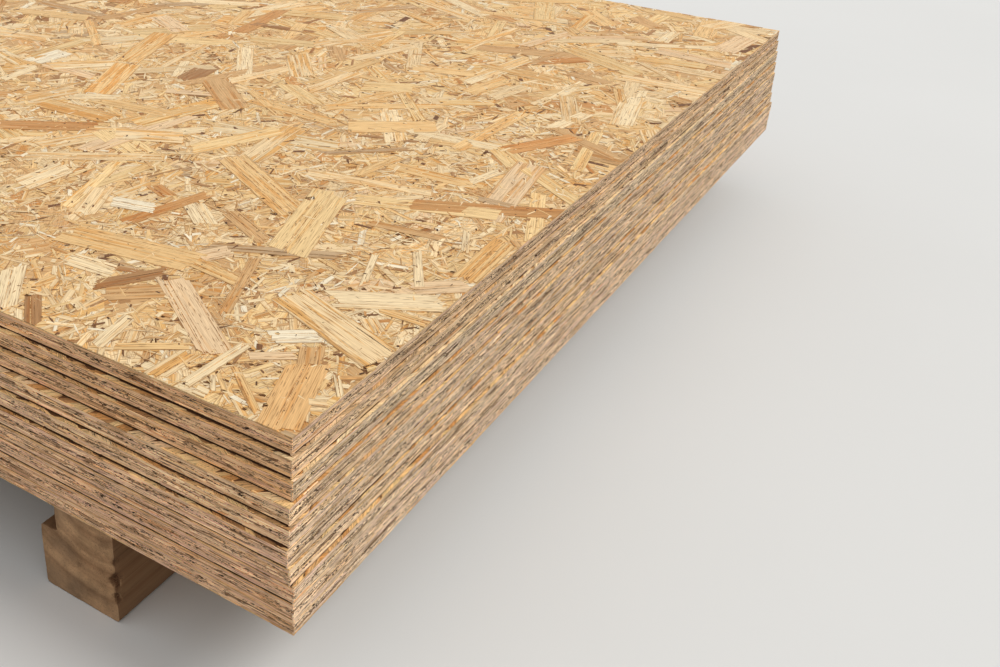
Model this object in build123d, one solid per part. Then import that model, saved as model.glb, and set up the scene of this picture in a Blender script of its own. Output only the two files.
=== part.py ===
from build123d import *
import os

# Stack of oriented strand board panels on timber bearers, in millimetres.
# X runs along the panels, Y across them, Z up from the floor. The origin is on the floor, at the middle of
# the stack's outline. The near corner, where the stack is most uneven, is at +X and -Y.

# Panels
panel_length = 2440
panel_width = 1220
panel_thickness = 15
panel_arris = 0.5            # width of the eased edge all round a panel

# How far each panel stands out past the top one, from the top panel down
end_steps = (0, 2.5, 5, 7, 9, 9.5, 11, 13.5, 13, 12.5)             # at the near end, +X
side_steps = (0, 3.5, 6.5, 12, 15, 17.5, 17, 16, 15.5, 14)         # at the near long side, -Y

# Bearers, sawn timber that runs across under the panels
bearer_width = 80
bearer_height = 90
bearer_length = 1205
bearer_arris = 2.5           # radius of the worn long edges
rebate_width = 18            # the step sawn out of the upper edge that faces away from the near end
rebate_height = 28
rebate_corner = 1.5          # radius left by the saw inside the step
bearer_count = 4
bearer_inset = 210           # from the lowest panel's end to the middle of the first bearer

# How far each bearer's near end lies behind the lowest panel's side, from the near end of the stack
bearer_setbacks = (3, 6, 4, 9)

# Chips broken out of the near bearer's end, up its corner: height of the middle, length and depth
bearer_chips = ((24, 15, 5), (41, 20, 7), (60, 12, 4))

panel_count = len(end_steps)
stack_bottom = bearer_height


def middle(values):
    return (min(values) + max(values)) / 2


def panel_centre(level):
    """Middle of a panel in plan. Level 0 is the top panel."""
    return end_steps[level] - middle(end_steps), middle(side_steps) - side_steps[level]


def make_panel(level):
    """One flat panel with its sharp edges eased."""
    x, y = panel_centre(level)
    bottom = stack_bottom + (panel_count - 1 - level) * panel_thickness
    board = Box(panel_length, panel_width, panel_thickness, align=(Align.CENTER, Align.CENTER, Align.MIN))
    return Pos(x, y, bottom) * chamfer(board.edges(), panel_arris)


def bearer_section():
    """Section across a bearer, its underside at the floor: a rectangle with a step in one upper edge."""
    side = bearer_width / 2
    ledge = bearer_height - rebate_height
    outline = Polyline(
        (-side, 0), (side, 0), (side, bearer_height), (rebate_width - side, bearer_height),
        (rebate_width - side, ledge), (-side, ledge), close=True)
    section = make_face(outline)
    inner = section.vertices().sort_by_distance((rebate_width - side, ledge))[0]
    outer = [vertex for vertex in section.vertices() if vertex != inner]
    section = fillet(outer, bearer_arris)
    inner = section.vertices().sort_by_distance((rebate_width - side, ledge))[0]
    return fillet(inner, rebate_corner)


def chip_cutter(height, length, depth):
    """A lens-shaped cutter lying on the upright corner of a bearer's end, reaching in by its depth."""
    radius = (length ** 2 / 4 + depth ** 2) / (2 * depth)
    lens = Cylinder(radius, 4 * depth)
    return Pos(bearer_width / 2, 0, height) * Rot(0, 0, -45) * Rot(90, 0, 0) * Pos(radius - depth, 0, 0) * lens


def make_bearer(number):
    """One bearer. Number 0 is the one nearest the near end, whose corner is chipped."""
    first = panel_centre(panel_count - 1)[0] + panel_length / 2 - bearer_inset
    last = panel_centre(panel_count - 1)[0] - panel_length / 2 + bearer_inset
    x = first + (last - first) * number / (bearer_count - 1)
    front = panel_centre(panel_count - 1)[1] - panel_width / 2 + bearer_setbacks[number]
    bearer = extrude(Plane.XZ * bearer_section(), -bearer_length)
    if number == 0:
        for chip in bearer_chips:
            bearer -= chip_cutter(*chip)
    return Pos(x, front, 0) * bearer


os.makedirs("parts", exist_ok=True)
for level in range(panel_count):
    export_step(make_panel(level), f"parts/panel_{level + 1:02d}.step")
for number in range(bearer_count):
    export_step(make_bearer(number), f"parts/bearer_{number + 1}.step")
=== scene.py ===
import math
from collections import namedtuple

import bpy
import numpy as np
from mathutils import Matrix, Vector


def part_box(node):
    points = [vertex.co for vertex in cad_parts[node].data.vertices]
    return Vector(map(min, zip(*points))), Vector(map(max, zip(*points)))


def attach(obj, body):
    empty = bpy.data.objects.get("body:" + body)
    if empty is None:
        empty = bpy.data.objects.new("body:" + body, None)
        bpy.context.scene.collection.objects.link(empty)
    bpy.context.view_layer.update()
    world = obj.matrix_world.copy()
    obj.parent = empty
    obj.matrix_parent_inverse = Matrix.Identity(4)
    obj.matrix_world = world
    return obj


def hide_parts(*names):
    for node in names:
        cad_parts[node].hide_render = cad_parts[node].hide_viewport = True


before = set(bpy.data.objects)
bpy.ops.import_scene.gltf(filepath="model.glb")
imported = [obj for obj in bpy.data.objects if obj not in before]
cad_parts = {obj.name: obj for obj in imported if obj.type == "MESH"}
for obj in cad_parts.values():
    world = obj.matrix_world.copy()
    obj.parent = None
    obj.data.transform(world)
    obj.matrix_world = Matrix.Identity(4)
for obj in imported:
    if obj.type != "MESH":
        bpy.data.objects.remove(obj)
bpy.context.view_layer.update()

# A stack of oriented strand board panels on sawn bearers, in metres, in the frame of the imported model:
# X along the panels, Y across them, Z up from the floor. The near corner is at +X and -Y.

mm = 0.001

panel_names = sorted(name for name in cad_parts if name.startswith("panel_"))
bearer_names = sorted(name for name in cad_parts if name.startswith("bearer_"))

# Seeds of the random draws. Each panel and bearer adds its own number.
panel_seed, bearer_seed = 100, 400
top_seed, underside_seed = 11, 12


# Colours

def colour(red, green, blue):
    """A colour as it looks on screen, 0 to 255, as the linear values that a surface takes."""
    shown = np.array((red, green, blue)) / 255
    return np.where(shown <= 0.04045, shown / 12.92, ((shown + 0.055) / 1.055) ** 2.4)


wood = {name: colour(*shown) for name, shown in {
    "cream": (243, 212, 163), "pale": (247, 221, 176), "white": (250, 234, 202), "yellow": (241, 206, 148),
    "gold": (237, 196, 136), "pinkish": (238, 204, 160), "tan": (216, 172, 118), "amber": (235, 187, 126),
    "orange": (208, 152, 92), "brown": (176, 130, 84), "grey_brown": (200, 168, 128), "dark": (118, 78, 46),
    "knot": (74, 44, 26),
}.items()}
face_mix = {"cream": 31, "pale": 14, "yellow": 13, "gold": 19, "pinkish": 8, "tan": 9, "orange": 1.2,
            "brown": 1, "grey_brown": 3}
sliver_mix = {"cream": 30, "pale": 21, "white": 8, "yellow": 12, "gold": 17, "tan": 10, "brown": 5,
              "orange": 1.5, "dark": 1}
fines_mix = {"cream": 27, "pale": 19, "white": 6, "yellow": 11, "gold": 17, "tan": 11, "orange": 2,
             "brown": 7, "dark": 5}
fibre_mix = {"cream": 28, "pale": 26, "white": 14, "yellow": 9, "gold": 8, "tan": 5, "brown": 6, "dark": 12}
speck_mix = {"dark": 6, "knot": 5, "brown": 3}
bed_mix = {"gold": 34, "tan": 30, "brown": 5, "yellow": 14, "cream": 17}
side_ledge_mix = {"gold": 22, "tan": 30, "yellow": 10, "orange": 16, "brown": 12, "cream": 10}
# Bed of the long sides' ledges: dark, painted shade under the panel above.
side_ledge_shade_bed = {"dark": 2, "brown": 3}
wide_ledge_mix = {"gold": 18, "tan": 24, "yellow": 8, "orange": 12, "pinkish": 16, "cream": 6, "brown": 2}
# On the near end, from the second panel down. The last holds for all the panels below too.
end_ledge_mixes = (
    {"grey_brown": 5, "tan": 3, "pinkish": 3},
    {"cream": 5, "pale": 4, "pinkish": 2},
    {"orange": 4, "gold": 3, "tan": 3, "grey_brown": 2},
    {"yellow": 4, "gold": 4, "orange": 2, "tan": 3, "grey_brown": 3},
)
end_ledge_bed = {"tan": 3, "orange": 1, "brown": 1}
# The core's colour and the colour of the hole bottoms are painted shade: the darkness of the joints and
# holes put into the wood's colour.
core_shade_colour = colour(86, 56, 34)
hollow_shade_colour = colour(116, 78, 46)   # seen in the holes of the top face


def pick(rng, mix, spread=0.05):
    """One wood colour drawn from a mix, a little lighter or darker than its name says."""
    names = list(mix)
    share = np.array([mix[name] for name in names], float)
    base = wood[names[rng.choice(len(names), p=share / share.sum())]]
    return base * (1 + spread * rng.standard_normal())


# Node trees

class Value:
    """An output of a node. A sum on it adds the node that works the sum out."""
    def __init__(self, socket):
        self.socket, self.tree = socket, socket.id_data

    def beside(self, name):
        """Another output of the same node."""
        return Value(self.socket.node.outputs[name])

    def __add__(self, other):
        return calc("ADD", self, other)

    def __sub__(self, other):
        return calc("SUBTRACT", self, other)

    def __mul__(self, other):
        return calc("MULTIPLY", self, other)

    def __truediv__(self, other):
        return calc("DIVIDE", self, other)

    def __abs__(self):
        return calc("ABSOLUTE", self)


def feed(socket, value):
    """Links an output to an input, or sets the input to a plain number, vector or colour."""
    if isinstance(value, Value):
        value.tree.links.new(value.socket, socket)
    else:
        socket.default_value = (*value, 1.0) if socket.type == "RGBA" else value


def node(tree, kind, inputs=None, output=0, **settings):
    """Adds a node and gives one of its outputs."""
    made = tree.nodes.new(kind)
    for name, value in settings.items():
        setattr(made, name, value)
    for name, value in (inputs or {}).items():
        feed(made.inputs[name], value)
    return Value(made.outputs[output])


def calc(operation, *values):
    """A sum on single values, or on vectors where one of them is a vector or a colour."""
    outputs = [value for value in values if isinstance(value, Value)]
    vectors = any(value.socket.type in ("VECTOR", "RGBA") for value in outputs)
    kind = "ShaderNodeVectorMath" if vectors else "ShaderNodeMath"
    return node(outputs[0].tree, kind, dict(enumerate(values)), operation=operation)


def split(vector):
    """The three parts of a vector."""
    first = node(vector.tree, "ShaderNodeSeparateXYZ", {0: vector})
    return first, first.beside("Y"), first.beside("Z")


def vector_of(x, y=0.0, z=0.0):
    """A vector from its parts, the first of which is an output."""
    return node(x.tree, "ShaderNodeCombineXYZ", {0: x, 1: y, 2: z})


def ramp(value, start, end, low=0.0, high=1.0):
    """A value mapped from one range to another, and held inside it."""
    return node(value.tree, "ShaderNodeMapRange", {"Value": value, "From Min": start, "From Max": end,
                                                   "To Min": low, "To Max": high})


def mixed(factor, first, second, blend="MIX"):
    """Two colours mixed by a factor."""
    return node(factor.tree, "ShaderNodeMix", {0: factor, 6: first, 7: second}, 2, data_type="RGBA",
                blend_type=blend)


def noise(vector, scale, detail=2.0, roughness=0.5):
    return node(vector.tree, "ShaderNodeTexNoise", {"Vector": vector, "Scale": scale, "Detail": detail,
                                                    "Roughness": roughness})


def new_group(name, kind, inputs, outputs):
    """An empty node group with named sockets: the group, what it is given, and where its results go."""
    group = bpy.data.node_groups.new(name, kind)
    for way, sockets in (("INPUT", inputs), ("OUTPUT", outputs)):
        for label, socket_kind in sockets.items():
            group.interface.new_socket(label, in_out=way, socket_type="NodeSocket" + socket_kind)
    given = group.nodes.new("NodeGroupInput").outputs
    results = group.nodes.new("NodeGroupOutput").inputs
    return group, {label: Value(given[label]) for label in inputs}, results


# Flakes: thin closed pieces of wood, each from a flat convex outline on one face of a board. A row of an
# outline holds the place on the face, the height above it, the place along and across the grain from the
# middle, and half the width of the strand. Fleck and warmth say how many dark dashes and warm streaks show.

Flake = namedtuple("Flake", "rows tone seed thickness fleck warmth", defaults=(0.3, 0.5))


def keep_side(rows, across, up, limit):
    """The part of a convex outline where across * x + up * y stays under the limit, or None."""
    side = rows[:, 0] * across + rows[:, 1] * up - limit
    if (side <= 0).all():
        return rows
    if (side >= 0).all():
        return None
    kept = []
    for i, row in enumerate(rows):
        j = (i + 1) % len(rows)
        if side[i] <= 0:
            kept.append(row)
        if side[i] * side[j] < 0:
            kept.append(row + (rows[j] - row) * side[i] / (side[i] - side[j]))
    return np.array(kept) if len(kept) > 2 else None


def keep_inside(rng, flakes, low, high, ragged):
    """The flakes cut off at a rectangle's sides. Each ends up to the ragged length short of a side, by its
    own amount, because cut ends that lie in one plane would shade each other black."""
    kept = []
    for flake in flakes:
        rows = flake.rows
        short = rng.uniform(0, ragged, 4)
        sides = ((-1, 0, -low[0]), (1, 0, high[0]), (0, -1, -low[1]), (0, 1, high[1]))
        for (across, up, limit), less in zip(sides, short):
            rows = rows if rows is None else keep_side(rows, across, up, limit - less)
        if rows is not None:
            kept.append(flake._replace(rows=rows))
    return kept


def cut_hole(flake, hole):
    """The convex parts of a flake that lie outside a convex hole, whose corners run anticlockwise."""
    parts, rest = [], flake.rows
    for i, (x, y) in enumerate(hole):
        step = hole[(i + 1) % len(hole)] - hole[i]
        normal = np.array((step[1], -step[0])) / np.hypot(*step)
        limit = normal @ (x, y)
        outside = keep_side(rest, -normal[0], -normal[1], -limit)
        if outside is not None:
            parts.append(flake._replace(rows=outside))
        rest = keep_side(rest, normal[0], normal[1], limit)
        if rest is None:
            break
    return parts


def cut_holes(flakes, holes):
    """Cuts each hole out of each flake that it reaches."""
    for hole in holes:
        low, high = hole.min(0), hole.max(0)
        kept = []
        for flake in flakes:
            near = (flake.rows[:, :2].max(0) > low).all() and (flake.rows[:, :2].min(0) < high).all()
            kept.extend(cut_hole(flake, hole) if near else [flake])
        flakes = kept
    return flakes


class Face:
    """A flat face of a board: world place = origin + x * right + y * up + height * out."""
    def __init__(self, origin, right, up):
        self.origin, self.right, self.up = (np.array(v, float) for v in (origin, right, up))
        self.out = np.cross(self.right, self.up)

    def place(self, rows):
        return (self.origin + rows[..., 0:1] * self.right + rows[..., 1:2] * self.up
                + rows[..., 2:3] * self.out)


def mesh_from(name, points, corners, sizes):
    """A mesh from its points, the corners of all faces in one row, and each face's number of corners."""
    mesh = bpy.data.meshes.new(name)
    mesh.vertices.add(len(points))
    mesh.vertices.foreach_set("co", np.asarray(points, np.float32).ravel())
    mesh.loops.add(len(corners))
    mesh.loops.foreach_set("vertex_index", np.asarray(corners, np.int32))
    mesh.polygons.add(len(sizes))
    starts = np.concatenate(([0], np.cumsum(sizes)[:-1]))
    mesh.polygons.foreach_set("loop_start", starts.astype(np.int32))
    mesh.polygons.foreach_set("use_smooth", np.zeros(len(sizes), bool))
    mesh.update(calc_edges=True)
    return mesh


def add_values(mesh, name, values):
    """Stores one value for each point: a vector, or a colour where it has four parts."""
    kind, field = ("FLOAT_COLOR", "color") if values.shape[-1] == 4 else ("FLOAT_VECTOR", "vector")
    stored = mesh.attributes.new(name, kind, "POINT")
    stored.data.foreach_set(field, np.asarray(values, np.float32).ravel())


def add_object(name, data):
    """Puts a mesh, lamp or camera in the scene."""
    made = bpy.data.objects.new(name, data)
    bpy.context.scene.collection.objects.link(made)
    return made


def piece_of(name, mesh, material):
    """Puts a finished mesh in the scene as one piece."""
    mesh.materials.append(material)
    return add_object(name, mesh)


def build_flakes(name, layers, material):
    """One piece from lists of flakes, each list with the face that it lies on."""
    values, corners, sizes = [], [], []
    count = 0
    for face, flakes in layers:
        by_size = {}
        for flake in flakes:
            by_size.setdefault(len(flake.rows), []).append(flake)
        for n, group in sorted(by_size.items()):
            rows = np.array([flake.rows for flake in group])
            own = np.array([(f.thickness, f.seed, *f.tone, 1.0, f.fleck, f.warmth) for f in group])
            own = own[:, None].repeat(n, 1)
            look = np.concatenate((rows[..., 3:5], own[..., 1:6], rows[..., 5:], own[..., 6:]), 2)
            top = face.place(rows)
            low = top - own[..., :1] * face.out
            both = np.concatenate((np.concatenate((top, look), 2), np.concatenate((low, look), 2)), 1)
            values.append(both.reshape(-1, both.shape[2]))
            ring = count + np.arange(len(group))[:, None] * 2 * n + np.arange(n)
            after = np.roll(ring, -1, 1)
            walls = np.stack((ring, ring + n, after + n, after), 2).reshape(-1)
            corners.append(np.concatenate((ring.ravel(), (ring + n)[:, ::-1].ravel(), walls)))
            sizes.append(np.concatenate((np.full(2 * len(group), n), np.full(n * len(group), 4))))
            count += 2 * n * len(group)
    place, *looks = np.split(np.concatenate(values), (3, 6, 10), axis=1)
    mesh = mesh_from(name, place, np.concatenate(corners), np.concatenate(sizes))
    for label, look in zip(("grain", "tone", "flaw"), looks):
        add_values(mesh, label, look)
    return piece_of(name, mesh, material)


# Strands on a face

strand_thickness = 0.7 * mm
ragged_end = 0.35 * mm       # the most that a strand ends short of a board's border
ragged_row = 0.22 * mm       # the same for the rows on a sawn edge
no_edge = 1.0                # half width given to flakes that have no dark rim of resin and painted shade


def strand(rng, centre, length, width, angle, height, tone, cells=4, fray=5 * mm, fleck=0.3, tilt=0.003,
           warmth=None):
    """One pressed strand as cells side by side, with frayed slanting ends, rising to a height. Some cells
    come apart towards one end."""
    splits = np.sort(rng.uniform(0.12, 0.88, cells - 1)) if cells > 1 else np.array([])
    across = np.concatenate(([0], splits, [1])) * width - width / 2
    slant = rng.uniform(-0.5, 0.5) * min(width, 4 * fray)
    left = -length / 2 + rng.uniform(0, fray, (cells, 2))
    right = length / 2 - rng.uniform(0, fray, (cells, 2))
    joined = rng.random(cells) < 0.55
    for i in range(1, cells):
        if joined[i]:
            left[i, 0] = left[i - 1, 1]
            right[i, 0] = right[i - 1, 1]
    cracks = rng.uniform(0.2, 0.7, (cells + 1, 2)) * mm * (rng.random((cells + 1, 2)) < 0.3)
    cracks[[0, -1]] = 0
    if warmth is None:
        warmth = rng.uniform(0.1, 0.9)
    slope = rng.normal(0, tilt, 2)
    turn = np.array(((math.cos(angle), math.sin(angle)), (-math.sin(angle), math.cos(angle))))
    seed = rng.uniform(0, 500)
    flakes = []
    for i in range(cells):
        low, high = across[i], across[i + 1]
        taper = rng.normal(0, 0.02 * width, 2) if i in (0, cells - 1) else np.zeros(2)
        lift = slant * np.array((low, low, high, high)) / width
        u = np.array((left[i, 0], right[i, 0], right[i, 1], left[i, 1])) + lift
        v = np.array((low + cracks[i, 0], low + taper[0] + cracks[i, 1],
                      high - cracks[i + 1, 1], high + taper[1] - cracks[i + 1, 0]))
        place = np.array(centre) + np.stack((u, v), 1) @ turn
        z = height + u * slope[0] + v * slope[1]
        rows = np.column_stack((place, z, u, v, np.full(4, width / 2)))
        flakes.append(Flake(rows, tone, seed, strand_thickness, fleck, warmth))
    return flakes


def scattered(rng, low, high, spacing):
    """Places on a jittered grid over a rectangle, in random order."""
    counts = np.maximum(np.ceil((np.array(high) - low) / spacing), 1).astype(int)
    step = (np.array(high) - low) / counts
    cell = np.stack(np.meshgrid(*(np.arange(n) for n in counts), indexing="ij"), -1).reshape(-1, 2)
    places = np.array(low) + (cell + rng.uniform(-0.2, 1.2, cell.shape)) * step
    return rng.permutation(places)


# Strands that the near corner is known by: distance from the near end and from the near side, length and
# width, all in millimetres, angle in degrees from +X, and colour
corner_strands = (
    (96, 298, 80, 11, 10, "tan"), (164, 198, 120, 13, 27, "grey_brown"), (150, 136, 100, 10, -67, "tan"),
    (212, 222, 75, 16, -25, "tan"), (182, 142, 65, 15, -5, "gold"), (206, 80, 55, 22, 42, "tan"),
    (200, 165, 30, 20, 60, "pinkish"), (262, 218, 50, 20, -35, "pale"), (320, 196, 45, 20, 15, "white"),
    (322, 234, 30, 15, -20, "orange"), (292, 210, 95, 15, 78, "orange"), (290, 26, 70, 22, -48, "pale"),
    (250, 16, 50, 12, -42, "brown"), (266, 91, 50, 20, 5, "pale"), (180, 28, 50, 12, -78, "pale"),
    (144, 28, 62, 9, 36, "gold"), (116, 20, 40, 17, 88, "cream"), (260, 304, 150, 30, -28, "gold"),
    (264, 132, 130, 34, 10, "gold"), (226, 92, 58, 16, 58, "brown"), (174, 264, 140, 38, -72, "yellow"),
    (42, 310, 50, 7, -65, "pale"), (50, 242, 70, 8, -58, "pale"), (82, 218, 60, 6, -68, "pale"),
    (20, 226, 50, 20, 42, "pinkish"), (13, 288, 90, 22, -87, "gold"), (22, 169, 45, 10, 3, "gold"),
    (42, 182, 95, 26, 31, "pale"), (32, 144, 24, 14, -40, "cream"), (45, 84, 25, 18, -60, "tan"),
    (67, 68, 38, 10, 36, "pinkish"), (65, 50, 25, 5, 64, "yellow"), (58, 26, 67, 6, -37, "gold"),
    (79, 6, 12, 9, 0, "pale"), (79, 18, 20, 4, -49, "pale"), (6, 78, 22, 5, 36, "amber"),
    (26, 36, 90, 30, -70, "amber"), (8, 64, 28, 5, -50, "pale"), (8, 40, 14, 8, 20, "cream"),
    (70, 98, 37, 18, 38, "white"), (56, 128, 118, 33, -19, "cream"), (150, 80, 125, 24, -33, "pinkish"),
    (92, 36, 70, 10, 88, "pale"),
)
farther_strands = (
    (357, 486, 120, 20, -2, "gold"), (170, 520, 110, 18, 8, "pale"), (420, 350, 90, 20, 50, "pale"),
    (530, 290, 110, 25, 35, "orange"), (560, 385, 60, 18, 35, "pale"), (715, 460, 60, 30, 90, "white"),
    (528, 528, 75, 30, -80, "brown"), (555, 525, 70, 12, -60, "pale"), (450, 630, 100, 30, -50, "cream"),
    (570, 755, 100, 15, 10, "brown"), (225, 480, 75, 6, 20, "brown"), (225, 435, 100, 10, 45, "grey_brown"),
    (60, 400, 40, 10, 5, "grey_brown"), (95, 450, 50, 12, 75, "pale"), (130, 360, 30, 8, 45, "pale"),
)
# Holes between the strands near the corner: distance from the near end and side, and width along X and Y
corner_holes = (
    (77, 182, 7, 5), (68, 188, 6, 5), (209, 257, 10, 5), (202, 304, 10, 12), (47, 153, 8, 6),
    (98, 164, 6, 4), (25, 252, 5, 12), (297, 100, 8, 4), (269, 28, 6, 6), (85, 42, 5, 5), (43, 26, 5, 4),
    (83, 17, 6, 5), (156, 108, 7, 5), (182, 87, 5, 4), (166, 64, 6, 3), (98, 288, 8, 5), (88, 290, 6, 4),
    (84, 274, 4, 4), (52, 279, 4, 3), (236, 277, 5, 4), (144, 270, 6, 5), (4, 161, 5, 4), (46, 294, 4, 4),
    (70, 266, 4, 4), (405, 450, 5, 25), (315, 810, 30, 6), (100, 29, 6, 5), (85, 30, 4, 4), (74, 26, 7, 3),
    (104, 49, 4, 4), (67, 15, 6, 3), (61, 20, 6, 5), (57, 12, 6, 3), (35, 18, 5, 6), (43, 7, 5, 4),
    (51, 55, 3, 3), (51, 45, 4, 3), (72, 51, 6, 3), (67, 60, 3, 3), (84, 66, 6, 4), (82, 94, 5, 4),
)

# How much of a listed strand of each colour has warm streaks, from 0 to 1
streak_share = {"white": 0, "pale": 0.15, "cream": 0.8, "amber": 0.3, "yellow": 0.3, "pinkish": 0.1}
corner_reach = 0.345         # how far from the near corner the listed strands lie
fine_reach = 0.66            # how far from it the slivers between the strands are small


def hole_outline(rng, centre, size):
    """A small uneven convex hole."""
    turns = (rng.uniform(0, 0.17, 5) + np.arange(5) / 5) * 2 * math.pi
    return np.array(centre) + np.stack((np.cos(turns), np.sin(turns)), 1) * np.array(size) / 2


def lay(rng, low, high, over, spacing, lengths, widths, heights, cells, mix, keep=None, fleck=0.3,
        tilt=0.003):
    """Strands of one kind strewn over a rectangle and some way past it, all in millimetres but the
    rectangle. Where keep is given, it says for a place whether a strand lies there."""
    lengths, widths, heights = (np.array(pair) * mm for pair in (lengths, widths, heights))
    flakes = []
    for centre in scattered(rng, np.array(low) - over * mm, np.array(high) + over * mm, spacing * mm):
        if keep is None or keep(centre):
            length, width = rng.uniform(*lengths), rng.uniform(*widths)
            flakes += strand(rng, centre, length, width, rng.uniform(0, math.pi), rng.uniform(*heights),
                             pick(rng, mix), cells=cells, fleck=fleck, tilt=tilt)
    return flakes


def face_strands(rng, low, high, near_corner):
    """All the strands of a panel's face, from the buried ones up to the ones that show whole."""
    def away(place):
        return np.abs(place - near_corner).max()

    # How far past the face they are strewn, spacing, lengths, widths, heights, cells, mix, where and how
    flakes = []
    for kind in (
            (24, 44, (120, 190), (38, 62), (-1.05, -0.85), 1, bed_mix),
            (12, 44, (60, 130), (12, 32), (-0.8, -0.6), 2, face_mix),
            (2.4, 13, (12, 42), (1.5, 6.5), (-0.6, -0.33), 1, sliver_mix,
             lambda place: away(place) < fine_reach, 0.8),
            (3.6, 26, (18, 62), (3, 11), (-0.6, -0.35), 1, sliver_mix,
             lambda place: away(place) >= fine_reach, 0.7),
            (12, 68, (60, 150), (12, 34), (-0.26, -0.12), 4, face_mix,
             lambda place: away(place) > corner_reach, 0.5, 0.0012)):
        flakes += lay(rng, low, high, *kind)
    listed = farther_strands + corner_strands
    for i, (x, y, length, width, angle, name) in enumerate(listed):
        centre = near_corner + np.array((-x, y)) * mm
        height = (-0.14 + 0.12 * i / len(listed)) * mm
        cells, fray = (6, 0.1 * length) if width > 12 else (3, 0.14 * length)
        flakes += strand(rng, centre, length * mm, width * mm, math.radians(angle), height, wood[name],
                         cells=cells, fray=min(9, fray) * mm, fleck=0.8, tilt=0.0006,
                         warmth=streak_share.get(name, 0.55))
    return keep_inside(rng, flakes, low, high, ragged_end)


# Sawn edges: rows of strand ends, one above another, with holes between them

# Colour of each panel's sawn edges, from the top panel down, on the long sides and on the ends: the wood's
# colour lightened as painted light against the shade they stand in, the long sides more than the ends
side_colours_with_painted_light = [colour(*shown) for shown in (
    (240, 196, 150), (242, 198, 152), (240, 196, 150), (252, 212, 168), (254, 214, 170),
    (250, 208, 168), (242, 201, 161), (244, 201, 161), (240, 197, 157), (238, 197, 157))]
end_colours_with_painted_light = [colour(*shown) for shown in (
    (213, 183, 148), (217, 187, 150), (214, 190, 158), (220, 191, 156), (222, 195, 163),
    (217, 190, 158), (227, 198, 163), (226, 199, 166), (226, 197, 165), (227, 199, 167))]

# How the strand ends on an edge differ from its own colour, and how often each kind comes: near the panel's
# faces, and between them
end_kinds = (
    ((1, 1, 1), 50, 32), ((1.32, 1.33, 1.32), 9, 25), ((0.98, 0.94, 1.05), 18, 8),
    ((1.1, 1.02, 0.84), 8, 10), ((0.68, 0.62, 0.55), 14, 15), ((0.95, 0.7, 0.5), 1, 1),
    ((0.40, 0.33, 0.27), 0, 9),
)
golden_end = (1.15, 1.06, 0.80)   # the topmost row of a panel's edge
corner_painted_highlight, highlight_reach = 0.24, 18 * mm   # painted highlight: the near end's edges are brighter towards the near corner
between_faces = (0.22, 0.78)    # levels of a panel's edge, from 0 to 1, where its wood is loose
hole_share = 0.45            # how many of the strand ends there have a hole beside them
wander = 0.3 * mm            # how far the rows go up and down along an edge
finest, coarser = 1, 2.4     # length of the strand ends near the corner and past the close view
edge_setback = 0.9 * mm      # how far the core, painted dark as shade, lies behind the sawn face
joint_depth = 5 * mm         # how far the joint under a panel, painted dark as shade, reaches in
close_view = 1.1             # distance from the near corner within which the edges are finest


def flat_flake(outline, height, grain, *look):
    """A flake with four corners at one height, with no dark rim."""
    return Flake(np.column_stack((outline, np.full(4, height), grain, np.full(4, no_edge))), *look)


def edge_rows(rng, length, low, high, base, rows, run, near_start=False, golden=False, broken=0, pores=1,
              fineness=1):
    """The strand ends on one sawn edge, as flakes over its length and between two heights. They get longer
    away from the near corner, which lies at the start or the end of the face. The topmost row may look
    golden, and a share of the lowest row may be broken away. The pores between the faces are the largest,
    and fineness says how much finer than on the long sides the streaks and pores are, along and across."""
    flakes = []
    shares = np.array([kind[1:] for kind in end_kinds], float)
    shares /= shares.sum(0)
    row_height = (high - low) / rows
    waves = [(rng.uniform(0.4, 1) / rng.uniform(30, 90) / mm, rng.uniform(0, 7), rng.uniform(0.3, 0.7))
             for _ in range(4)]

    def drift(s, level):
        """How far the rows wander up or down at a place along the edge."""
        inner = 1 - abs(2 * level - 1) ** 3
        return wander * inner * sum(a * math.sin(6.28 * k * s + p + 2 * level) for k, p, a in waves)

    for row in range(rows):
        level = (row + 0.5) / rows
        middle = low + (row + 0.5) * row_height
        inner = between_faces[0] < level < between_faces[1]
        s = -rng.uniform(0, run)
        while s < length:
            away = s if near_start else length - s
            span = run * rng.uniform(0.3, 1.7) * (finest if away < close_view else coarser)
            if row == 0 and rng.random() < broken:
                s += 0.5 * span
                continue
            tip = rng.uniform(1.5, 6) * mm
            half = row_height * (rng.uniform(0.4, 0.58) if inner else rng.uniform(0.5, 0.75))
            start, end = s, s + span
            z = np.array([middle + drift(t, level) for t in (start, end)])
            lean = (tip, 0) if rng.random() < 0.5 else (0, tip)
            outline = np.array(((start + lean[0], z[0] - half), (end - lean[1], z[1] - half),
                                (end - lean[0], z[1] + half), (start + lean[1], z[0] + half)))
            kind = end_kinds[rng.choice(len(end_kinds), p=shares[:, int(inner)])][0]
            tone = base * (golden_end if golden and row == rows - 1 else kind) * (1 + rng.normal(0, 0.08))
            # Painted highlight towards the near corner.
            if near_start:
                tone = tone * (1 + corner_painted_highlight * math.exp(-max(s, 0) / highlight_reach))
            raised = -rng.uniform(0, 0.4) * mm
            fleck = pores * (rng.uniform(0.7, 1) if inner else rng.uniform(0, 0.3))
            flakes.append(flat_flake(outline, raised, (outline - (start, middle)) * fineness, tone,
                                     rng.uniform(0, 500), edge_setback, fleck))
            hole = inner and rng.random() < hole_share
            s = end + (rng.uniform(-1, 4.5) * mm if hole else -tip)
    return keep_inside(rng, flakes, (0, low), (length, high), ragged_row)


ledge_reach = 0.4 * mm       # how far the strands on a ledge run in under the panel above
bare_ledge = 0.3 * mm        # the widest ledge without strands
wide_ledge = 4.5 * mm
bed_length = 90 * mm

# What lies on a long side's ledge: mix of the strands, mix of their bed, and how far they reach in from the
# sawn edge, as shares of the width. The beds are dark, painted shade under the panel above.
side_ledge = (side_ledge_mix, side_ledge_shade_bed, (0.65, 1))
wide_side_ledge = (wide_ledge_mix, {"dark": 1}, (0.85, 1))
end_cover = (0.9, 1)         # the same shares on the near end


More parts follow.
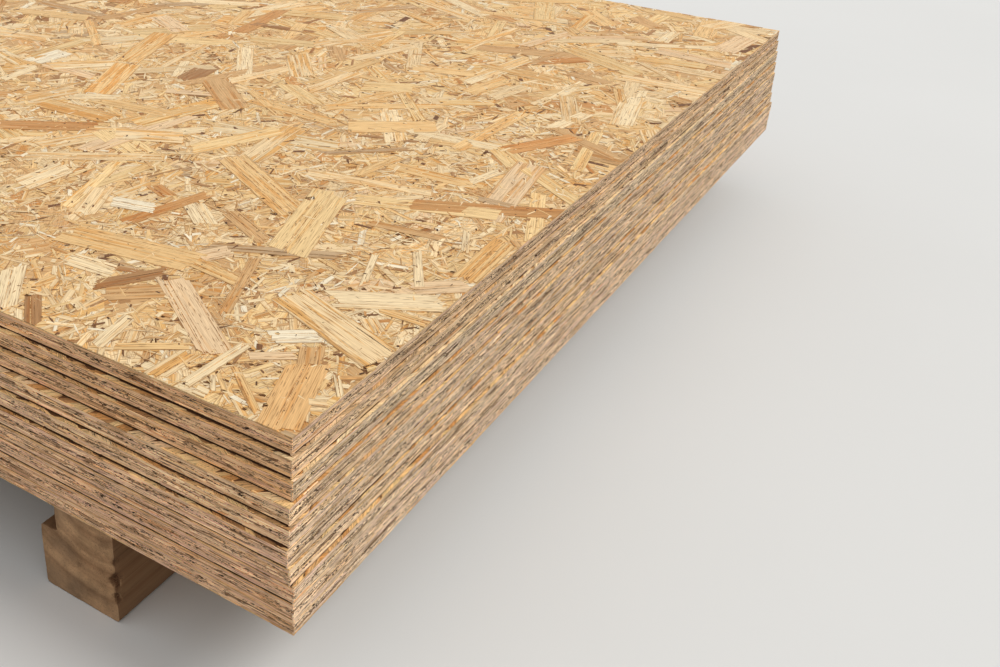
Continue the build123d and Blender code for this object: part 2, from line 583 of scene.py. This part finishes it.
def ledge_strands(rng, length, width, mix, bed, cover):
    """Strands on a narrow ledge, where a panel stands out past the one above it, over a bed that shows."""
    flakes = []
    for s in np.arange(0, length, bed_length):
        end = s + bed_length + 2 * mm
        outline = np.array(((s, 0), (end, 0), (end, width), (s, width)))
        flakes.append(flat_flake(outline, -rng.uniform(0.40, 0.46) * mm, outline, pick(rng, bed),
                                 rng.uniform(0, 500), 0.3 * mm, 1.0))
    wide = width > wide_ledge
    s = -20 * mm
    while s < length:
        span = rng.uniform(5, 16) * mm if wide else rng.uniform(3, 22) * mm
        shift = width * (rng.uniform(0.2, 1.3) if wide else rng.choice((-1, 1)) * rng.uniform(0.8, 2.5))
        inner = width * rng.uniform(*cover)
        outline = np.array(((s, 0), (s + span, 0), (s + span + shift, inner), (s + shift, inner)))
        along = np.array((shift, inner))
        along = along / np.hypot(*along)
        grain = np.stack((outline @ along, outline @ (along[1], -along[0])), 1)
        flakes.append(flat_flake(outline, -rng.uniform(0, 0.35) * mm, grain, pick(rng, mix),
                                 rng.uniform(0, 500), 0.5 * mm, 0.4))
        s += span + rng.uniform(-2, 1 if wide else 0) * mm
    return keep_inside(rng, flakes, (0, 0), (length, width), ragged_end)


def core_flake(size, inset, top, bottom, tone=core_shade_colour):
    """A layer of a panel's inside, as one thick flake between two depths under its upper face. Its dark
    colour is painted shade, for the joints and the holes.
    """
    far_x, far_y = size.x - inset, size.y - inset
    outline = np.array(((inset, inset), (far_x, inset), (far_x, far_y), (inset, far_y)))
    return flat_flake(outline, -top, np.zeros((4, 2)), tone, 1.0, bottom - top, 0)


def top_face(low, high):
    return Face((low.x, low.y, high.z), (1, 0, 0), (0, 1, 0))


def side_faces(low, high):
    """The four sawn edges of a panel, each with its length: near side, near end, far side and far end."""
    starts = ((low.x, low.y), (high.x, low.y), (high.x, high.y), (low.x, high.y))
    rights = ((1, 0, 0), (0, 1, 0), (-1, 0, 0), (0, -1, 0))
    lengths = (high.x - low.x, high.y - low.y) * 2
    return [(Face((*start, low.z), right, (0, 0, 1)), length)
            for start, right, length in zip(starts, rights, lengths)]


surface_depth = 1.15 * mm    # how far the core, painted dark as shade, lies under a face that shows
core_lap = 0.5 * mm          # by which the layers of a core overlap

# Height of the joint under each panel, painted dark as shade, from the top panel down
joints = np.array((1.25, 1.2, 0.8, 0.9, 1.15, 1.15, 1.2, 1.3, 1.1, 0.2)) * mm

# Height left open at the top of each panel's edge, more where the panel above overhangs it
top_gaps = np.array((0, 0.15, 0.15, 0.15, 0.15, 0.15, 0.8, 0.9, 1.0, 1.1)) * mm

# On the ends the joints are nearly closed, and open only where strands have broken away
end_joint = 0.2 * mm
broken_share = 0.35
end_pores = 1.25             # size of the pores on the ends, as against 1 on the long sides
end_fineness = (1.7, 1.25)   # how much finer the ends are than the long sides, along and across
near_rows = (16, 26 * mm)    # rows on a near edge, and mean length of a strand end
far_rows = (10, 60 * mm)


def build_panel(level, name, material):
    """One panel's board: its core, its four sawn edges and the strands on its near ledges."""
    rng = np.random.default_rng(panel_seed + level)
    low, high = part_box(name)
    size = high - low
    first, last = level == 0, level == len(panel_names) - 1
    top = surface_depth if first else max(core_lap, top_gaps[level])
    bottom = size.z - (surface_depth if last else joints[level])
    core = [core_flake(size, edge_setback, top, bottom, hollow_shade_colour if first else core_shade_colour)]
    if not last:
        core.append(core_flake(size, joint_depth, bottom - core_lap, size.z))
    if top_gaps[level] > core_lap:
        core.append(core_flake(size, joint_depth, 0, top + core_lap))
    layers = [(top_face(low, high), core)]
    edge_top = size.z - (surface_depth if first else top_gaps[level])
    for i, (face, length) in enumerate(side_faces(low, high)):
        rows = near_rows if i < 2 else far_rows
        if i in (0, 2):
            ends = edge_rows(rng, length, joints[level], edge_top, side_colours_with_painted_light[level], *rows,
                             golden=not first)
        else:
            ends = edge_rows(rng, length, end_joint, edge_top, end_colours_with_painted_light[level], *rows,
                             near_start=i == 1, broken=0 if last else broken_share, pores=end_pores,
                             fineness=end_fineness)
        layers.append((face, ends))
    if not first:
        above_low, above_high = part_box(panel_names[level - 1])
        side_step, end_step = above_low.y - low.y, high.x - above_high.x
        on_side = wide_side_ledge if side_step > wide_ledge else side_ledge
        on_end = (end_ledge_mixes[min(level, len(end_ledge_mixes)) - 1], end_ledge_bed, end_cover)
        end_face = Face((high.x, low.y, high.z), (0, 1, 0), (-1, 0, 0))
        for face, length, step, what in ((top_face(low, high), size.x, side_step, on_side),
                                         (end_face, size.y, end_step, on_end)):
            if step > bare_ledge:
                layers.append((face, ledge_strands(rng, length, step + ledge_reach, *what)))
    return build_flakes(name + "_board", layers, material)


# Fines: small needles and chips strewn over a face

dense_reach = 0.35           # distance from the near corner within which the fines are densest


def fines_tree(name, mix):
    """Strews copies of a small piece over a rectangle, most of them near a corner, in a mix of colours."""
    tree, given, results = new_group(name, "GeometryNodeTree", {
        "Piece": "Geometry", "Middle": "Vector", "Corner": "Vector", "Width": "Float", "Depth": "Float",
        "Near Density": "Float", "Far Density": "Float", "Reach": "Float", "Smallest": "Vector",
        "Largest": "Vector", "Seed": "Int", "Material": "Material"}, {"Geometry": "Geometry"})

    def drawn(low, high, shift, kind="FLOAT_VECTOR"):
        """A value drawn for each copy."""
        index = {"FLOAT": 2, "FLOAT_VECTOR": 0}[kind]
        return node(tree, "FunctionNodeRandomValue",
                    {index: low, index + 1: high, 8: given["Seed"] + shift}, index // 2, data_type=kind)

    def stored(geometry, label, value, kind="FLOAT_VECTOR", domain="POINT"):
        return node(tree, "GeometryNodeStoreNamedAttribute",
                    {"Geometry": geometry, "Name": label, "Value": value}, data_type=kind, domain=domain)

    def named(label):
        return node(tree, "GeometryNodeInputNamedAttribute", {"Name": label}, data_type="FLOAT_VECTOR")

    place = node(tree, "GeometryNodeInputPosition")
    grid = node(tree, "GeometryNodeMeshGrid", {"Size X": given["Width"], "Size Y": given["Depth"],
                                               "Vertices X": 60, "Vertices Y": 30})
    sheet = node(tree, "GeometryNodeSetPosition", {"Geometry": grid, "Offset": given["Middle"]})
    away = node(tree, "ShaderNodeVectorMath", {0: place, 1: given["Corner"]}, "Value", operation="DISTANCE")
    density = ramp(away, dense_reach, given["Reach"], given["Near Density"], given["Far Density"])
    points = node(tree, "GeometryNodeDistributePointsOnFaces",
                  {"Mesh": sheet, "Density": density, "Seed": given["Seed"]})

    length, wide, thick = split(drawn(given["Smallest"], given["Largest"], 1))
    x, y, _ = split(place - given["Middle"])
    room = calc("MINIMUM", given["Width"] - abs(x) * 2.0, given["Depth"] - abs(y) * 2.0)
    length = calc("MINIMUM", length, calc("MAXIMUM", room, 1 * mm))
    points = stored(points, "size", vector_of(length, wide, thick))
    piece = stored(given["Piece"], "shape", place)
    copies = node(tree, "GeometryNodeInstanceOnPoints", {
        "Points": points, "Instance": piece, "Scale": named("size"),
        "Rotation": drawn((-0.15, -0.02, 0.0), (0.15, 0.02, 6.283), 2)})

    paint = node(tree, "ShaderNodeValToRGB", {0: drawn(0.0, 1.0, 3, "FLOAT")})
    colours = paint.socket.node.color_ramp
    colours.interpolation = "CONSTANT"
    total, start = sum(mix.values()), 0
    for i, (tone, share) in enumerate(mix.items()):
        stop = colours.elements[i] if i < 2 else colours.elements.new(start / total)
        stop.position, stop.color = start / total, (*wood[tone], 1.0)
        start += share
    copies = stored(copies, "tone", paint, "FLOAT_COLOR", "INSTANCE")
    copies = stored(copies, "offset", drawn((0.0, 0.0, 0.0), (0.0, 0.0, 500.0), 4), domain="INSTANCE")

    whole = node(tree, "GeometryNodeRealizeInstances", {"Geometry": copies})
    whole = stored(whole, "grain", named("shape") * named("size") + named("offset"))
    _, wide, _ = split(named("size"))
    # The first part sets the dark rim, partly resin and partly painted shade.
    whole = stored(whole, "flaw", vector_of(wide * 0.5 + 0.25 * mm, 0.5))
    whole = node(tree, "GeometryNodeSetMaterial", {"Geometry": whole, "Material": given["Material"]})
    feed(results[0], whole)
    return tree


# Small pieces of unit size, as points and faces: a splinter with a ridge and two points, and a broken flake
needle = (
    ((-0.5, 0, 0), (0.5, 0, 0), (0.1, -0.5, 0), (-0.1, 0.5, 0), (0, 0, 0.5), (0, 0, -0.5)),
    ((0, 2, 4), (2, 1, 4), (1, 3, 4), (3, 0, 4), (2, 0, 5), (1, 2, 5), (3, 1, 5), (0, 3, 5)),
)
chip = (
    [(x, y, z) for z in (0.5, -0.5) for x, y in ((-0.5, -0.3), (0.42, -0.5), (0.5, 0.3), (-0.36, 0.5))],
    [(0, 1, 2, 3), (7, 6, 5, 4), *((i, i + 4, (i + 1) % 4 + 4, (i + 1) % 4) for i in range(4))],
)


def strew(name, tree, shape, values, material):
    """Strews one kind of small piece and keeps the result as a plain mesh."""
    seedling = bpy.data.meshes.new(name)
    seedling.from_pydata(shape[0], [], shape[1])
    carrier = add_object(name, seedling)
    modifier = carrier.modifiers.new("strewn", "NODES")
    modifier.node_group = tree
    sockets = {s.name: s.identifier for s in tree.interface.items_tree if s.in_out == "INPUT"}
    for label, value in {**values, "Material": material}.items():
        modifier[sockets[label]] = value
    graph = bpy.context.evaluated_depsgraph_get()
    made = bpy.data.meshes.new_from_object(carrier.evaluated_get(graph), depsgraph=graph)
    carrier.modifiers.remove(modifier)
    carrier.data = made
    made.polygons.foreach_set("use_smooth", np.zeros(len(made.polygons), bool))
    return carrier


# What is strewn over the top face: name, mix, shape, depth of a piece's middle in millimetres, density near
# the corner and far from it, how far its change reaches, smallest and largest size in millimetres, and seed
fines_kinds = (
    ("needles", fines_mix, needle, 0.45, 7000, 3800, 1.2, (6, 0.8, 0.4), (34, 3.2, 0.7), 5),
    ("chips", fines_mix, chip, 0.45, 3600, 2000, 1.2, (4, 1.5, 0.4), (18, 6, 0.55), 6),
    ("specks", speck_mix, chip, 0.28, 1900, 380, 1.2, (1.2, 0.6, 0.4), (5, 2.2, 0.5), 7),
    ("fibres", fibre_mix, needle, 0.45, 34000, 0, 0.65, (3, 0.35, 0.25), (15, 1.1, 0.4), 8),
)
fines_border = 2 * mm        # left free of them, both sides taken together


def build_fines(material):
    """Needles, chips, dark specks and, near the corner, fine fibres over the top panel's upper face."""
    low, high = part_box(panel_names[0])
    middle = (low + high) / 2
    pieces = []
    for name, mix, shape, depth, near, far, reach, smallest, largest, seed in fines_kinds:
        pieces.append(strew("top_face_" + name, fines_tree("strewn_" + name, mix), shape, {
            "Middle": (middle.x, middle.y, high.z - depth * mm), "Corner": (high.x, low.y, high.z),
            "Width": high.x - low.x - fines_border, "Depth": high.y - low.y - fines_border,
            "Near Density": float(near), "Far Density": float(far), "Reach": reach,
            "Smallest": [length * mm for length in smallest],
            "Largest": [length * mm for length in largest], "Seed": seed}, material))
    return pieces


def build_underside(material):
    """Coarser strands on the lowest panel's underside."""
    rng = np.random.default_rng(underside_seed)
    low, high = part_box(panel_names[-1])
    start, end = (low.x, -high.y), (high.x, -low.y)
    # Spacing, lengths, widths, heights, cells and mix
    flakes = []
    for kind in ((60, (150, 240), (46, 74), (-1.05, -0.85), 1, bed_mix),
                 (58, (60, 140), (14, 36), (-0.8, -0.5), 1, face_mix),
                 (36, (24, 90), (4, 18), (-0.5, -0.1), 1, fines_mix)):
        flakes += lay(rng, start, end, 30, *kind)
    face = Face((0, 0, low.z), (1, 0, 0), (0, -1, 0))
    flakes = keep_inside(rng, flakes, start, end, ragged_end)
    return build_flakes("underside_strands", [(face, flakes)], material)


border = 0.05 * mm           # how far the strands of the top face end at least behind its sawn edges


def build_top(material):
    """The strands of the top panel's upper face."""
    rng = np.random.default_rng(top_seed)
    low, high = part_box(panel_names[0])
    corner = np.array((high.x, low.y))
    flakes = face_strands(rng, (low.x + border, low.y + border), (high.x - border, high.y - border), corner)
    holes = [hole_outline(rng, corner + np.array((-x, y)) * mm, (w * mm, d * mm))
             for x, y, w, d in corner_holes]
    face = Face((0, 0, high.z), (1, 0, 0), (0, 1, 0))
    return build_flakes("top_face_strands", [(face, cut_holes(flakes, holes))], material)


# Bearers: sawn timber, from a section with a step along one upper edge

bearer_arris = 2.5 * mm
rebate_width = 18 * mm
rebate_height = 28 * mm
rebate_corner = 1.5 * mm
section_step = 2.5 * mm      # between points round the near bearer's section, half as many on the others
end_rings = 26               # rings of faces from the outside of a sawn end to its middle
saw_relief = 0.22 * mm       # height of the ridges that the saw left along it
worn_depth = 0.9 * mm        # depth of the knocks on its long edges
ring_spacing = 5 * mm        # between the growth rings that stand out on its ends
torn_dark_depth = 4 * mm         # over which the wood gets darker where it is torn

# Height of the middle, length and depth
bearer_chips = ((24 * mm, 15 * mm, 5 * mm), (41 * mm, 20 * mm, 7 * mm), (60 * mm, 12 * mm, 4 * mm))


def rounded(corners, radii, spacing):
    """Points at an even spacing round a closed outline whose corners are rounded."""
    path = []
    for i, corner in enumerate(corners):
        before = corners[i - 1] - corner
        after = corners[(i + 1) % len(corners)] - corner
        before, after = before / np.hypot(*before), after / np.hypot(*after)
        centre = corner + (before + after) * radii[i]
        for t in np.linspace(0, math.pi / 2, 7):
            path.append(centre - after * radii[i] * math.cos(t) - before * radii[i] * math.sin(t))
    path = np.array(path)
    closed = np.vstack((path, path[:1]))
    run = np.concatenate(([0], np.cumsum(np.hypot(*np.diff(closed, axis=0).T))))
    places = np.linspace(0, run[-1], int(run[-1] / spacing), endpoint=False)
    return np.stack([np.interp(places, run, closed[:, k]) for k in (0, 1)], 1)


def smooth_noise(rng, places, spacing):
    """Random values between -1 and 1 at knots, read smoothly at the places."""
    knots = rng.uniform(-1, 1, int(places.max() / spacing) + 3)
    t = places / spacing
    i = t.astype(int)
    f = t - i
    f = f * f * (3 - 2 * f)
    return knots[i] * (1 - f) + knots[i + 1] * f


def build_bearer(number, name, material):
    """One bearer, with saw relief along it, worn edges and rough ends. Number 0 has a chipped corner."""
    rng = np.random.default_rng(bearer_seed + number)
    low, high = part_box(name)
    wide, tall, long = high.x - low.x, high.z - low.z, high.y - low.y
    side, ledge = wide / 2, tall - rebate_height
    step = rebate_width - side

    # Section and the way out from each of its points
    corners = np.array(((-side, 0), (side, 0), (side, tall), (step, tall), (step, ledge), (-side, ledge)))
    radii = [bearer_arris] * 4 + [rebate_corner, bearer_arris]
    spacing = section_step * (1 if number == 0 else 2)
    section = rounded(corners, radii, spacing)
    tangent = np.roll(section, -1, 0) - np.roll(section, 1, 0)
    normal = np.stack((tangent[:, 1], -tangent[:, 0]), 1) / np.hypot(*tangent.T)[:, None]
    count = len(section)
    place = np.arange(count) * spacing

    # Sections along it, closest at the ends, with the marks of the saw and knocks on the edges
    near = np.concatenate((np.arange(0, 14, 1.4), np.arange(14, 60, 3.5), np.arange(60, 160, 12))) * mm
    stations = np.concatenate((near, np.linspace(0.17, long - 0.17, 22), long - near[::-1]))
    ridges = [smooth_noise(rng, place, 4 * mm) + 0.7 * smooth_noise(rng, place, 11 * mm) for _ in range(9)]
    which = stations / long * 8 * 0.999
    first = which.astype(int)
    part = (which - first)[:, None]
    relief = saw_relief * (np.array(ridges)[first] * (1 - part) + np.array(ridges)[first + 1] * part)
    relief -= 0.5 * mm * (1 + smooth_noise(rng, stations, 60 * mm))[:, None] * 0.4
    relief = np.minimum(relief, 0.1 * mm)
    worn = np.abs(np.roll(normal, 2, 0) - np.roll(normal, -2, 0)).sum(1) > 0.3
    for point in np.nonzero(worn)[0]:
        knocks = np.maximum(smooth_noise(rng, stations, 14 * mm), 0) ** 2
        relief[:, point] -= worn_depth * knocks
    flat = section[None] + relief[..., None] * normal[None]
    body = np.stack((flat[..., 0], np.repeat(stations[:, None], count, 1), flat[..., 1]), 2)

    # Rough ends, as rings of points that close in on the middle
    middle = np.array((0, tall * 0.42))
    shares = np.concatenate((np.linspace(1, 0.9, 9)[1:], np.linspace(0.9, 0.03, end_rings - 8)[1:]))
    rings = middle + (flat[[0, -1], None] - middle) * shares[None, :, None, None]
    pith = np.array((rng.uniform(-0.03, 0.05), -0.03 if number % 2 else 0.13))
    away = np.hypot(rings[..., 0] - pith[0], rings[..., 1] - pith[1])
    rough = 0.1 * mm * np.sin(away / ring_spacing * 2 * math.pi) + rng.uniform(0, 0.4 * mm, away.shape)
    sunk = (0.3 * mm + rough * 0.8) * np.minimum(1, (1 - shares) * 12)[:, None]
    ends = np.stack((rings[..., 0], sunk, rings[..., 1]), 3)
    ends[1, ..., 1] = long - sunk[1]

    # The whole, with the chipped corner torn away
    grid = np.concatenate((ends[0][::-1], body, ends[1]))
    # How much darker the wood is where the corner is torn, from 0 to 1.
    torn_darkening = np.zeros(grid.shape[:2])
    if number == 0:
        diagonal = np.array((1, -1)) / math.sqrt(2)
        outward = (grid[..., 0] - side) * diagonal[0] + grid[..., 1] * diagonal[1]
        depth = np.full(outward.shape, -1.0)
        uneven = 1.6 * mm * smooth_noise(rng, (grid[..., 2] + 2 * grid[..., 1]).clip(0), 5 * mm)
        for height, length, deep in bearer_chips:
            radius = (length ** 2 / 4 + deep ** 2) / (2 * deep)
            depth = np.maximum(depth, deep - (grid[..., 2] - height) ** 2 / (2 * radius))
        torn = depth + uneven + rng.uniform(-0.6, 0.1, depth.shape) * mm
        past = np.where(depth > 0.2 * mm, np.maximum(outward + torn, 0), 0)
        torn_darkening = np.clip(past / torn_dark_depth, 0, 1)
        grid[..., :2] -= past[..., None] * diagonal
    grid += (low.x + side, low.y, low.z)

    total = len(grid)
    ring = np.arange(total)[:, None] * count + np.arange(count)
    after = np.roll(ring, -1, 1)
    quads = np.stack((ring[:-1], after[:-1], after[1:], ring[1:]), 2).reshape(-1)
    caps = np.concatenate((ring[0][::-1], ring[-1]))
    mesh = mesh_from(name + "_timber", grid.reshape(-1, 3), np.concatenate((quads, caps)),
                     np.concatenate((np.full((total - 1) * count, 4), (count, count))))
    heart = np.full((total, count, 3), (low.x + side + pith[0], 37.0 * number, pith[1]))
    add_values(mesh, "heart", heart)
    add_values(mesh, "torn_darkening", np.repeat(torn_darkening[..., None], 3, 2))
    mesh.polygons.foreach_set("use_smooth", np.ones(len(mesh.polygons), bool))
    return piece_of(name + "_timber", mesh, material)


# Wood fibre and finishes

def make_fibre_group():
    """Wood fibres that follow a grain: fine lines, broad bands, and the distance to the nearest dash."""
    tree, given, results = new_group(
        "wood_fibre", "ShaderNodeTree",
        {"Grain": "Vector", "Line Length": "Float", "Line Width": "Float", "Dash Length": "Float",
         "Dash Width": "Float"},
        {"Lines": "Float", "Bands": "Float", "Dashes": "Float"})
    x, y, z = split(given["Grain"])

    def stretched(length, width, shift):
        return vector_of(x / length, y / width, z + shift)

    long, wide = given["Line Length"], given["Line Width"]
    feed(results["Lines"], noise(stretched(long, wide, 0.0), 1.0, 2.0, 0.55))
    feed(results["Bands"], noise(stretched(long * 3.0, wide * 5.0, 31.0), 1.0, 1.0))
    spots = stretched(given["Dash Length"], given["Dash Width"], 67.0)
    feed(results["Dashes"], node(tree, "ShaderNodeTexVoronoi", {"Vector": spots, "Scale": 1.0}))
    return tree


def fibre(group, grain, line, dash):
    """Lines, bands and dashes along a grain, from a line's and a dash's length and width in millimetres."""
    sizes = {i: size * mm for i, size in enumerate((*line, *dash), 1)}
    lines = node(grain.tree, "ShaderNodeGroup", {0: grain, **sizes}, node_tree=group)
    return lines, lines.beside("Bands"), lines.beside("Dashes")


def new_material(name):
    material = bpy.data.materials.new(name)
    material.use_nodes = True
    tree = material.node_tree
    return material, tree, tree.nodes["Principled BSDF"]


def attribute(tree, name, output="Vector"):
    return node(tree, "ShaderNodeAttribute", None, output, attribute_name=name)


def surface(shader, base, roughness, height, distance, strength):
    """Links colour, roughness and relief to the material's shader."""
    bump = node(base.tree, "ShaderNodeBump", {"Height": height, "Distance": distance, "Strength": strength})
    for name, value in (("Base Color", base), ("Roughness", roughness), ("Normal", bump),
                        ("Specular IOR Level", 0.25)):
        feed(shader.inputs[name], value)


def make_strand_material(group):
    """Pressed strands: each its own colour, with fibres along it, dark dashes and a darker rim. The rim is
    partly resin and partly painted shade where the strands meet.
    """
    material, tree, shader = new_material("pressed_strands")
    grain = attribute(tree, "grain")
    half, fleck, warmth = split(attribute(tree, "flaw"))
    _, across, seed = split(grain)
    lines, bands, dashes = fibre(group, grain, (26, 0.85), (12, 1.5))
    own = node(tree, "ShaderNodeTexWhiteNoise", {"W": calc("FLOOR", seed)}, "Value", noise_dimensions="1D")
    base = attribute(tree, "tone", "Color") * ramp(lines, 0.3, 0.7, 0.8, 1.2)
    warm = ramp(bands + (warmth - 0.5) * 0.16, 0.52, 0.62) * ramp(warmth, 0, 0.8, 0.2, 0.95)
    base = mixed(warm, base, (0.88, 0.64, 0.35), "MULTIPLY")
    hair = ramp(lines, 0.41, 0.33) * ramp(own, 0, 1, 0.35, 0.85)
    base = mixed(hair, base, (0.40, 0.18, 0.055))
    dash = ramp(dashes, 0.32, 0.20) * fleck * ramp(bands, 0.34, 0.56)
    base = mixed(dash * 0.85, base, (0.22, 0.095, 0.032))
    # Darker rim along a strand's sides: partly resin, partly painted shade where the strands meet.
    rim = ramp(half - abs(across), 0.1 * mm, 0.8 * mm, 0.55, 0.0)
    base = mixed(rim, base, (0.36, 0.20, 0.08))
    surface(shader, base, ramp(lines, 0.3, 0.7, 0.62, 0.5), lines - dash, 0.15 * mm, 0.6)
    return material


def make_edge_material(group):
    """Sawn edges: each strand end its own colour, with fine streaks along it, and large and small pores.
    The pores are painted near black, as the shade in the pits between the strand ends.
    """
    material, tree, shader = new_material("sawn_edge")
    grain = attribute(tree, "grain")
    _, fleck, _ = split(attribute(tree, "flaw"))
    streak = (18, 0.65)
    lines, bands, dashes = fibre(group, grain, streak, (5, 1.35))
    _, _, small = fibre(group, grain, streak, (4, 1.1))
    base = attribute(tree, "tone", "Color") * ramp(lines, 0.3, 0.7, 0.64, 1.48)
    base = mixed(ramp(lines, 0.39, 0.34) * 0.5, base, (0.14, 0.08, 0.042))
    # The pores: painted shade of the pits between the strand ends.
    small = ramp(small, 0.27, 0.19) * ramp(fleck, 0.1, 0.8, 0.15, 0.9)
    base = mixed(small, base, (0.06, 0.034, 0.018))
    size = fleck * 0.40
    large = ramp(dashes + (lines - 0.5) * 0.6, size, size - 0.05) * ramp(bands, 0.38, 0.48)
    base = mixed(large * 0.95, base, (0.05, 0.028, 0.015))
    surface(shader, base, ramp(lines, 0.3, 0.7, 0.85, 0.7), lines - large, 0.2 * mm, 0.7)
    return material


def make_timber_material():
    """Weathered sawn timber: growth rings round a heart, fibres along Y and dull brown ends. Its long faces
    are painted darker than its ends, as shade under the stack.
    """
    material, tree, shader = new_material("weathered_timber")
    from_heart = node(tree, "ShaderNodeTexCoord", None, "Object") - attribute(tree, "heart")
    stretched = from_heart * (1.0, 0.06, 1.0)
    x, _, z = split(from_heart)
    away = node(tree, "ShaderNodeVectorMath", {0: vector_of(x, 0.0, z)}, "Value", operation="LENGTH")
    away = away + noise(stretched, 14.0, 2.0) * (22 * mm)
    late = ramp(calc("FRACT", away / (5.2 * mm)), 0.35, 0.95)
    broad = ramp(noise(vector_of(away / (11 * mm)), 1.0, 1.0), 0.38, 0.64)
    lines = noise(from_heart * (900.0, 14.0, 900.0), 1.0, 3.0, 0.6)
    blotch = ramp(noise(stretched, 13.0, 3.0), 0.40, 0.66, 0.0, 0.75)
    base = mixed(broad, colour(202, 160, 118), colour(168, 128, 92))
    base = mixed(late * 0.14, base, colour(116, 80, 50))
    base = mixed(ramp(lines, 0.52, 0.75, 0.0, 0.7), base, colour(104, 76, 52))
    base = mixed(blotch, base, colour(150, 124, 98))
    base = base * ramp(noise(stretched, 34.0, 3.0, 0.6), 0.36, 0.64, 0.70, 1.28)
    # The long faces painted darker than the ends, as shade under the stack.
    _, facing, _ = split(node(tree, "ShaderNodeNewGeometry", None, "Normal"))
    painted_flank_shade = ramp(abs(facing), 0.7, 0.9, 0.65, 0.0)
    base = mixed(painted_flank_shade, base, colour(104, 72, 46))
    torn, _, _ = split(attribute(tree, "torn_darkening"))
    base = mixed(torn * ramp(lines, 0.3, 0.55, 0.45, 1.0), base, colour(82, 50, 28))
    surface(shader, base, ramp(lines, 0.3, 0.7, 0.9, 0.75), late * 0.25 + lines, 0.4 * mm, 0.7)
    return material


# Camera, light and stage

camera_place = (1.5393, -1.0485, 0.6522)
camera_heading = 31.56       # degrees
camera_dip = 26.31
camera_roll = 2.3
camera_lens = 39.05
camera_shift = (0.13, -0.0935)


def make_camera():
    data = bpy.data.cameras.new("camera")
    data.lens = camera_lens
    data.sensor_width = 36
    data.shift_x, data.shift_y = camera_shift
    data.clip_start, data.clip_end = 0.01, 100
    camera = add_object("camera", data)
    turn = (Matrix.Rotation(math.radians(camera_heading), 4, "Z")
            @ Matrix.Rotation(math.radians(90 - camera_dip), 4, "X")
            @ Matrix.Rotation(math.radians(camera_roll), 4, "Z"))
    camera.matrix_world = Matrix.Translation(camera_place) @ turn
    bpy.context.scene.camera = camera


sky_strength = 0.60
sun_strength = 1.55
sun_colour = (1.0, 0.985, 0.96)
sun_direction = (0.62, 0.30, 0.80)     # towards the lamp
sun_width = 28               # degrees
background = colour(232, 232, 230)


def show(tree, bounced, direct, end):
    """Shows one shader to light that bounces, and another to rays that come from the camera, also by way of
    a mirror or glass."""
    camera_ray = node(tree, "ShaderNodeLightPath", None, "Is Camera Ray")
    seen = calc("MAXIMUM", camera_ray, camera_ray.beside("Is Glossy Ray"))
    seen = calc("MAXIMUM", seen, camera_ray.beside("Is Transmission Ray"))
    both = node(tree, "ShaderNodeMixShader", {0: seen, 1: bounced, 2: direct})
    feed(tree.nodes[end].inputs["Surface"], both)


def make_light():
    """An even sky and one broad soft lamp from above, behind the near end."""
    lamp = bpy.data.lights.new("lamp", "SUN")
    lamp.energy = sun_strength
    lamp.angle = math.radians(sun_width)
    lamp.color = sun_colour
    light = add_object("lamp", lamp)
    light.rotation_mode = "QUATERNION"
    light.rotation_quaternion = Vector(sun_direction).to_track_quat("Z", "Y")
    world = bpy.data.worlds.new("studio")
    bpy.context.scene.world = world
    world.use_nodes = True
    tree = world.node_tree
    sky = tree.nodes["Background"]
    feed(sky.inputs["Color"], (1, 1, 1))
    feed(sky.inputs["Strength"], sky_strength)
    backdrop = node(tree, "ShaderNodeBackground", {"Color": background, "Strength": 1.0})
    show(tree, Value(sky.outputs[0]), backdrop, "World Output")


floor_radius = 30.0
floor_height = -0.0001       # a hair under the bearers
floor_corners = 96


def make_floor():
    """A wide pale floor. Light that bounces off it finds it darker, so that it keeps the sides' shade."""
    turns = np.linspace(0, 2 * math.pi, floor_corners, endpoint=False)
    rim = np.stack((np.cos(turns), np.sin(turns), np.full(floor_corners, floor_height)), 1)
    rim *= (floor_radius, floor_radius, 1)
    mesh = mesh_from("floor", rim, np.arange(floor_corners), [floor_corners])
    material, tree, pale = new_material("floor")
    patches = noise(node(tree, "ShaderNodeTexCoord", None, "Object"), 1.3, 4.0)
    feed(pale.inputs["Base Color"], mixed(patches, colour(226, 226, 224), colour(234, 234, 232)))
    feed(pale.inputs["Roughness"], 0.9)
    dull = node(tree, "ShaderNodeBsdfDiffuse", {"Color": colour(150, 148, 145)})
    show(tree, dull, Value(pale.outputs[0]), "Material Output")
    piece_of("floor", mesh, material)


# Everything together

make_camera()
make_light()
make_floor()
bpy.context.scene.view_settings.view_transform = "Standard"

fibre_group = make_fibre_group()
strand_material = make_strand_material(fibre_group)
edge_material = make_edge_material(fibre_group)
timber_material = make_timber_material()


def settle(piece, slot_name, *nodes):
    """Makes a finished piece go with the stack and stand in for the plain nodes that it dresses. The slot
    name is not used."""
    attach(piece, "root")
    if nodes:
        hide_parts(*nodes)


for level, name in enumerate(panel_names):
    settle(build_panel(level, name, edge_material), "panel", name)
settle(build_top(strand_material), "panel")
settle(build_underside(strand_material), "panel")
for fines in build_fines(strand_material):
    settle(fines, "panel")
for number, name in enumerate(bearer_names):
    settle(build_bearer(number, name, timber_material), "bearer", name)
